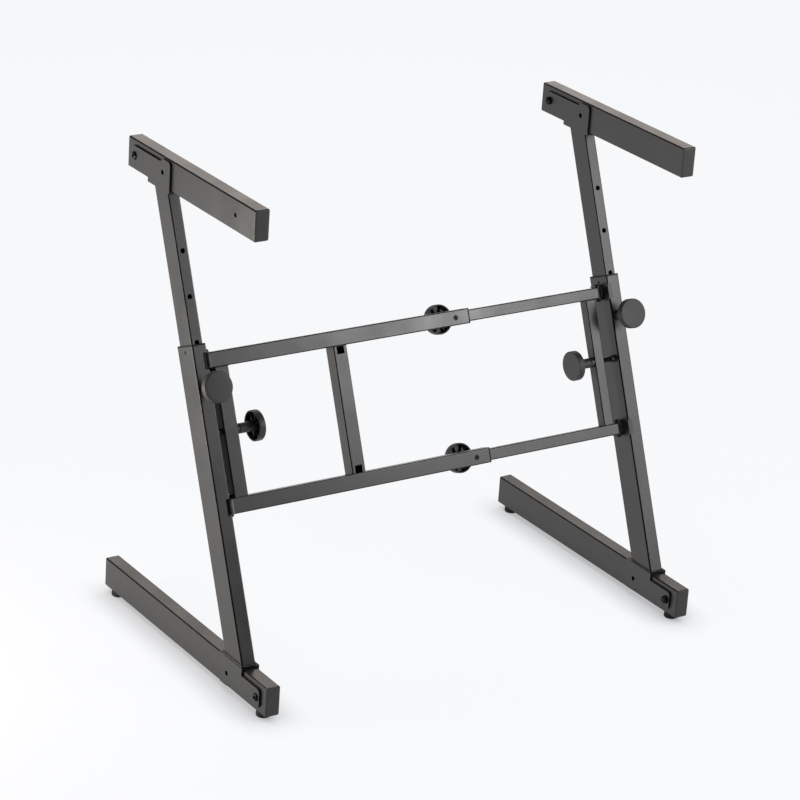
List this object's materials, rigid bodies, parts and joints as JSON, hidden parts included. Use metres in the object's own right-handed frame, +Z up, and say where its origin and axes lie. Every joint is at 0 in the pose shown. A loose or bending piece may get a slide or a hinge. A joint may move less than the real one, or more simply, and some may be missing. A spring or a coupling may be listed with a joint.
{
  "type": "folding keyboard stand",
  "caption": "Folding keyboard stand with leaning telescopic legs, flat feet and arms, sliding crossbars and clamping knobs.",
  "frame": {"origin": "on the floor, midway between the two feet and midway along them", "axes": "+X to the right as the player stands in front, +Y to the rear, +Z up"},
  "size_m": [0.85, 0.525, 0.8065],
  "materials": {
    "black_painted_steel": "satin black powder coat",
    "black_plastic": "fine-grained moulded plastic",
    "black_rubber": "matte rubber",
    "dark_steel": "black-plated steel"
  },
  "bodies": {
    "frame": {"upper_outer_crossbar": "black_painted_steel", "lower_outer_crossbar": "black_painted_steel", "left_post": "black_painted_steel", "middle_post": "black_painted_steel", "frame_weld_nuts": "black_painted_steel", "crossbar_bushings": "black_plastic"},
    "right_frame": {"upper_inner_crossbar": "black_painted_steel", "lower_inner_crossbar": "black_painted_steel", "crossbar_guides": "black_plastic", "right_post": "black_painted_steel", "right_post_nut": "black_painted_steel"},
    "left_leg": {"left_leg_tube": "black_painted_steel", "left_foot_bracket": "black_painted_steel", "left_hinge_brackets": "black_painted_steel", "left_hinge_pins": "dark_steel", "left_leg_bushing": "black_plastic", "left_leg_weld_nuts": "black_painted_steel", "left_foot_pivot_bolt": "dark_steel"},
    "left_mast": {"left_mast_tube": "black_painted_steel", "left_mast_guide": "black_plastic", "left_arm_bracket": "black_painted_steel", "left_arm_pivot_bolt": "dark_steel"},
    "left_foot": {"left_foot_tube": "black_painted_steel", "left_foot_end_caps": "black_plastic", "left_foot_pads": "black_rubber"},
    "left_arm": {"left_arm_tube": "black_painted_steel", "left_arm_end_caps": "black_plastic"},
    "left_foot_button": {"left_foot_snap_button": "dark_steel"},
    "left_arm_button": {"left_arm_snap_button": "dark_steel"},
    "left_height_screw": {"left_height_screw": "dark_steel"},
    "left_height_knob": {"left_height_knob": "black_plastic"},
    "right_leg": {"right_leg_tube": "black_painted_steel", "right_foot_bracket": "black_painted_steel", "right_hinge_brackets": "black_painted_steel", "right_hinge_pins": "dark_steel", "right_leg_bushing": "black_plastic", "right_leg_weld_nuts": "black_painted_steel", "right_foot_pivot_bolt": "dark_steel"},
    "right_mast": {"right_mast_tube": "black_painted_steel", "right_mast_guide": "black_plastic", "right_arm_bracket": "black_painted_steel", "right_arm_pivot_bolt": "dark_steel"},
    "right_foot": {"right_foot_tube": "black_painted_steel", "right_foot_end_caps": "black_plastic", "right_foot_pads": "black_rubber"},
    "right_arm": {"right_arm_tube": "black_painted_steel", "right_arm_end_caps": "black_plastic"},
    "right_foot_button": {"right_foot_snap_button": "dark_steel"},
    "right_arm_button": {"right_arm_snap_button": "dark_steel"},
    "right_height_screw": {"right_height_screw": "dark_steel"},
    "right_height_knob": {"right_height_knob": "black_plastic"},
    "upper_width_screw": {"upper_width_screw": "dark_steel"},
    "upper_width_knob": {"upper_width_knob": "black_plastic"},
    "lower_width_screw": {"lower_width_screw": "dark_steel"},
    "lower_width_knob": {"lower_width_knob": "black_plastic"},
    "left_fold_screw": {"left_fold_screw": "dark_steel"},
    "left_fold_knob": {"left_fold_knob": "black_plastic"},
    "right_fold_screw": {"right_fold_screw": "dark_steel"},
    "right_fold_knob": {"right_fold_knob": "black_plastic"}
  },
  "joints": [
    {"name": "width_slide", "type": "slide", "parent": "frame", "child": "right_frame", "axis": [1, 0, 0], "range_m": [-0.235, 0.12]},
    {"name": "left_leg_fold", "type": "hinge", "parent": "frame", "child": "left_leg", "pos_m": [-0.3795, -0.02584, 0.39348], "axis": [0, -0.3859, -0.9225], "range_deg": [0, 90]},
    {"name": "left_height_slide", "type": "slide", "parent": "left_leg", "child": "left_mast", "axis": [0, 0.3859, 0.9225], "range_m": [-0.216, 0.144]},
    {"name": "left_arm_fold", "type": "hinge", "parent": "left_mast", "child": "left_arm", "pos_m": [-0.4, 0.20478, 0.78154], "axis": [-1, 0, 0], "range_deg": [0, 290]},
    {"name": "left_foot_fold", "type": "hinge", "parent": "left_leg", "child": "left_foot", "pos_m": [-0.4, -0.2365, 0.035], "axis": [-1, 0, 0], "range_deg": [0, 286]},
    {"name": "left_foot_button_press", "type": "slide", "parent": "left_foot", "child": "left_foot_button", "axis": [1, 0, 0], "range_m": [0, 0.004], "stiffness_N_per_m": 600, "springref_m": -0.002},
    {"name": "left_arm_button_press", "type": "slide", "parent": "left_arm", "child": "left_arm_button", "axis": [1, 0, 0], "range_m": [0, 0.004], "stiffness_N_per_m": 600, "springref_m": -0.002},
    {"name": "left_height_travel", "type": "slide", "parent": "left_leg", "child": "left_height_screw", "axis": [0, -0.9225, 0.3859], "range_m": [0, 0.005]},
    {"name": "left_height_turn", "type": "hinge", "parent": "left_height_screw", "child": "left_height_knob", "pos_m": [-0.4, -0.04741, 0.48054], "axis": [0, -0.9225, 0.3859], "range_deg": [0, 1440.5]},
    {"name": "right_leg_fold", "type": "hinge", "parent": "right_frame", "child": "right_leg", "pos_m": [0.3795, -0.02584, 0.39348], "axis": [0, 0.3859, 0.9225], "range_deg": [0, 90]},
    {"name": "right_height_slide", "type": "slide", "parent": "right_leg", "child": "right_mast", "axis": [0, 0.3859, 0.9225], "range_m": [-0.216, 0.144]},
    {"name": "right_arm_fold", "type": "hinge", "parent": "right_mast", "child": "right_arm", "pos_m": [0.4, 0.20478, 0.78154], "axis": [-1, 0, 0], "range_deg": [0, 290]},
    {"name": "right_foot_fold", "type": "hinge", "parent": "right_leg", "child": "right_foot", "pos_m": [0.4, -0.2365, 0.035], "axis": [-1, 0, 0], "range_deg": [0, 286]},
    {"name": "right_foot_button_press", "type": "slide", "parent": "right_foot", "child": "right_foot_button", "axis": [-1, 0, 0], "range_m": [0, 0.004], "stiffness_N_per_m": 600, "springref_m": -0.002},
    {"name": "right_arm_button_press", "type": "slide", "parent": "right_arm", "child": "right_arm_button", "axis": [-1, 0, 0], "range_m": [0, 0.004], "stiffness_N_per_m": 600, "springref_m": -0.002},
    {"name": "right_height_travel", "type": "slide", "parent": "right_leg", "child": "right_height_screw", "axis": [0, -0.9225, 0.3859], "range_m": [0, 0.005]},
    {"name": "right_height_turn", "type": "hinge", "parent": "right_height_screw", "child": "right_height_knob", "pos_m": [0.4, -0.04741, 0.48054], "axis": [0, -0.9225, 0.3859], "range_deg": [0, 1440.5]},
    {"name": "upper_width_travel", "type": "slide", "parent": "frame", "child": "upper_width_screw", "axis": [0, 0.9225, -0.3859], "range_m": [0, 0.005]},
    {"name": "upper_width_turn", "type": "hinge", "parent": "upper_width_screw", "child": "upper_width_knob", "pos_m": [0.078, 0.04572, 0.48657], "axis": [0, 0.9225, -0.3859], "range_deg": [0, 1440.5]},
    {"name": "lower_width_travel", "type": "slide", "parent": "frame", "child": "lower_width_screw", "axis": [0, 0.9225, -0.3859], "range_m": [0, 0.005]},
    {"name": "lower_width_turn", "type": "hinge", "parent": "lower_width_screw", "child": "lower_width_knob", "pos_m": [0.078, -0.04342, 0.27346], "axis": [0, 0.9225, -0.3859], "range_deg": [0, 1440.5]},
    {"name": "left_fold_travel", "type": "slide", "parent": "frame", "child": "left_fold_screw", "axis": [1, 0, 0], "range_m": [0, 0.005]},
    {"name": "left_fold_turn", "type": "hinge", "parent": "left_fold_screw", "child": "left_fold_knob", "pos_m": [-0.321, -0.0323, 0.39618], "axis": [1, 0, 0], "range_deg": [0, 1440.5]},
    {"name": "right_fold_travel", "type": "slide", "parent": "right_frame", "child": "right_fold_screw", "axis": [-1, 0, 0], "range_m": [0, 0.005]},
    {"name": "right_fold_turn", "type": "hinge", "parent": "right_fold_screw", "child": "right_fold_knob", "pos_m": [0.31, -0.0323, 0.39618], "axis": [-1, 0, 0], "range_deg": [0, 1440.5]}
  ],
  "couplings": [
    {"joint": "left_height_turn", "follows": "left_height_travel", "rad_per_m": 5026.5},
    {"joint": "right_height_turn", "follows": "right_height_travel", "rad_per_m": 5026.5},
    {"joint": "upper_width_turn", "follows": "upper_width_travel", "rad_per_m": 5026.5},
    {"joint": "lower_width_turn", "follows": "lower_width_travel", "rad_per_m": 5026.5},
    {"joint": "left_fold_turn", "follows": "left_fold_travel", "rad_per_m": 5026.5},
    {"joint": "right_fold_turn", "follows": "right_fold_travel", "rad_per_m": 5026.5}
  ]
}
